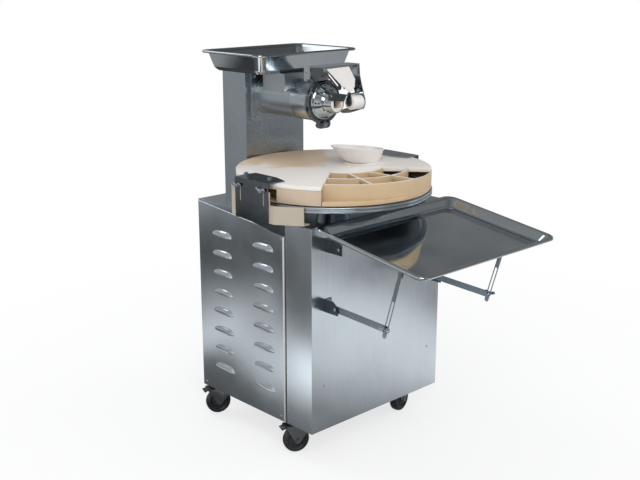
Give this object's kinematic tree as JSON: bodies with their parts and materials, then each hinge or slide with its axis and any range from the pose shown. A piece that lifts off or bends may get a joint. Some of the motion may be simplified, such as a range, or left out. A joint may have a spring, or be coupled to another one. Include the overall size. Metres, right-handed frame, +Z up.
{
  "type": "dough divider",
  "caption": "Dough divider: hopper pan, screw barrel with knife, funnel and spiral rounding track over a turntable, on a castered cabinet with a folding drop tray.",
  "frame": {"origin": "on the floor under the middle of the machine's bounding box", "axes": "+Z up from the floor; -Y to the side where the drop tray hangs, +Y to the column's back; +X to the machine's right seen from the tray; the barrel's and turntable's axes lie in the plane X = 0"},
  "size_m": [0.652, 1.0426, 1.2048],
  "materials": {
    "brushed_steel": "brushed stainless sheet",
    "polished_steel": "polished stainless",
    "satin_steel": "satin stainless",
    "dark_steel": "dark polished steel",
    "cast_steel": "machined casting",
    "turntable_alloy": "turned, satin",
    "cream_nylon": "cream, satin",
    "white_nylon": "white, smooth",
    "motor_paint": "blue grey hammered",
    "black_rubber": "matt",
    "black_plastic": "matt",
    "zinc_steel": "zinc plated"
  },
  "bodies": {
    "machine": {"floor_pan": "satin_steel", "floor_frame": "satin_steel", "column_casing": "satin_steel", "column_rear_cover": "satin_steel", "right_bracket": "satin_steel", "front_panel": "brushed_steel", "left_louvre_panel": "brushed_steel", "right_panel": "brushed_steel", "rear_panel": "brushed_steel", "deck_plate": "polished_steel", "nozzle": "polished_steel", "cutter_bracket": "polished_steel", "hopper_pan": "polished_steel", "feed_gearbox": "cast_steel", "feed_barrel": "cast_steel", "screw_bearing": "cast_steel", "turntable_bearing": "cast_steel", "turntable_gearbox": "cast_steel", "feed_motor": "motor_paint", "turntable_motor": "motor_paint", "drive_chain": "dark_steel", "clamp_ring": "dark_steel", "slotted_bar": "dark_steel", "left_bracket": "dark_steel", "upper_bracket_left": "dark_steel", "upper_bracket_right": "dark_steel", "lower_bracket_left": "dark_steel", "lower_bracket_right": "dark_steel", "nozzle_bush": "cream_nylon", "track_cover": "cream_nylon", "track_skirt": "cream_nylon", "spiral_guide": "cream_nylon", "outlet_chute": "cream_nylon", "deflector_plate": "white_nylon", "funnel": "white_nylon"},
    "turntable": {"turntable": "turntable_alloy", "turntable_shaft": "cast_steel"},
    "feed_screw": {"feed_screw": "polished_steel", "screw_sprocket": "cast_steel"},
    "drive_sprocket": {"drive_sprocket": "cast_steel"},
    "knife": {"knife_blade": "dark_steel"},
    "feeler": {"feeler_arm": "dark_steel"},
    "feeler_roller": {"feeler_roller": "white_nylon"},
    "tray": {"drop_tray": "polished_steel"},
    "arm_left": {"tray_arm_left": "satin_steel", "wing_nut_left": "zinc_steel"},
    "arm_right": {"tray_arm_right": "satin_steel", "wing_nut_right": "zinc_steel"},
    "stay_left": {"tray_stay_left": "satin_steel"},
    "stay_right": {"tray_stay_right": "satin_steel"},
    "fork_front_left": {"caster_fork_front_left": "zinc_steel"},
    "wheel_front_left": {"caster_wheel_front_left": "black_rubber"},
    "fork_front_right": {"caster_fork_front_right": "zinc_steel"},
    "wheel_front_right": {"caster_wheel_front_right": "black_rubber"},
    "fork_rear_left": {"caster_fork_rear_left": "zinc_steel"},
    "wheel_rear_left": {"caster_wheel_rear_left": "black_rubber"},
    "fork_rear_right": {"caster_fork_rear_right": "zinc_steel"},
    "wheel_rear_right": {"caster_wheel_rear_right": "black_rubber"},
    "brake_front_left": {"caster_brake_front_left": "black_plastic"},
    "brake_rear_left": {"caster_brake_rear_left": "black_plastic"}
  },
  "joints": [
    {"name": "turntable_spin", "type": "hinge", "parent": "machine", "child": "turntable", "pos_m": [0, 0.09234, 0.79], "axis": [0, 0, 1], "continuous": true},
    {"name": "screw_spin", "type": "hinge", "parent": "machine", "child": "feed_screw", "pos_m": [0, 0.27534, 1.06], "axis": [0, -1, 0], "continuous": true},
    {"name": "drive_spin", "type": "hinge", "parent": "machine", "child": "drive_sprocket", "pos_m": [0, 0.47734, 0.33], "axis": [0, -1, 0], "continuous": true},
    {"name": "knife_swing", "type": "hinge", "parent": "machine", "child": "knife", "pos_m": [-0.031, 0.07434, 1.086], "axis": [0, 1, 0], "range_deg": [0, 50]},
    {"name": "feeler_swing", "type": "hinge", "parent": "machine", "child": "feeler", "pos_m": [0.045, 0.07134, 1.0845], "axis": [1, 0, 0], "range_deg": [-35, 6]},
    {"name": "roller_spin", "type": "hinge", "parent": "feeler", "child": "feeler_roller", "pos_m": [0.07, 0.07134, 1.058], "axis": [1, 0, 0], "continuous": true},
    {"name": "tray_fold", "type": "hinge", "parent": "machine", "child": "tray", "pos_m": [0.019, -0.14866, 0.685], "axis": [1, 0, 0], "range_deg": [0, 80]},
    {"name": "arm_fold_left", "type": "hinge", "parent": "machine", "child": "arm_left", "pos_m": [-0.209, -0.13366, 0.501], "axis": [1, 0, 0], "range_deg": [0, 89]},
    {"name": "stay_fold_left", "type": "hinge", "parent": "tray", "child": "stay_left", "pos_m": [-0.209, -0.38266, 0.661], "axis": [1, 0, 0], "range_deg": [-84, 0]},
    {"name": "arm_fold_right", "type": "hinge", "parent": "machine", "child": "arm_right", "pos_m": [0.247, -0.13366, 0.501], "axis": [1, 0, 0], "range_deg": [0, 89]},
    {"name": "stay_fold_right", "type": "hinge", "parent": "tray", "child": "stay_right", "pos_m": [0.247, -0.38266, 0.661], "axis": [1, 0, 0], "range_deg": [-84, 0]},
    {"name": "swivel_front_left", "type": "hinge", "parent": "machine", "child": "fork_front_left", "pos_m": [-0.196, 0.00934, 0.1], "axis": [0, 0, 1], "continuous": true},
    {"name": "roll_front_left", "type": "hinge", "parent": "fork_front_left", "child": "wheel_front_left", "pos_m": [-0.22983, 0.02166, 0.042], "axis": [0.342, 0.9397, 0], "continuous": true},
    {"name": "brake_press_front_left", "type": "hinge", "parent": "fork_front_left", "child": "brake_front_left", "pos_m": [-0.23486, 0.02348, 0.0937], "axis": [0.342, 0.9397, 0], "range_deg": [-18, 0]},
    {"name": "swivel_front_right", "type": "hinge", "parent": "machine", "child": "fork_front_right", "pos_m": [0.264, 0.00934, 0.1], "axis": [0, 0, 1], "continuous": true},
    {"name": "roll_front_right", "type": "hinge", "parent": "fork_front_right", "child": "wheel_front_right", "pos_m": [0.22855, 0.00309, 0.042], "axis": [-0.1736, 0.9848, 0], "continuous": true},
    {"name": "swivel_rear_left", "type": "hinge", "parent": "machine", "child": "fork_rear_left", "pos_m": [-0.196, 0.40134, 0.1], "axis": [0, 0, 1], "continuous": true},
    {"name": "roll_rear_left", "type": "hinge", "parent": "fork_rear_left", "child": "wheel_rear_left", "pos_m": [-0.22983, 0.41366, 0.042], "axis": [0.342, 0.9397, 0], "continuous": true},
    {"name": "brake_press_rear_left", "type": "hinge", "parent": "fork_rear_left", "child": "brake_rear_left", "pos_m": [-0.23486, 0.41548, 0.0937], "axis": [0.342, 0.9397, 0], "range_deg": [-18, 0]},
    {"name": "swivel_rear_right", "type": "hinge", "parent": "machine", "child": "fork_rear_right", "pos_m": [0.264, 0.40134, 0.1], "axis": [0, 0, 1], "continuous": true},
    {"name": "roll_rear_right", "type": "hinge", "parent": "fork_rear_right", "child": "wheel_rear_right", "pos_m": [0.22855, 0.39509, 0.042], "axis": [-0.1736, 0.9848, 0], "continuous": true}
  ],
  "couplings": [
    {"joint": "drive_spin", "follows": "screw_spin", "ratio": 2},
    {"joint": "arm_fold_left", "follows": "tray_fold", "ratio": 1.1},
    {"joint": "stay_fold_left", "follows": "tray_fold", "ratio": -1.042},
    {"joint": "arm_fold_right", "follows": "tray_fold", "ratio": 1.1},
    {"joint": "stay_fold_right", "follows": "tray_fold", "ratio": -1.042}
  ]
}
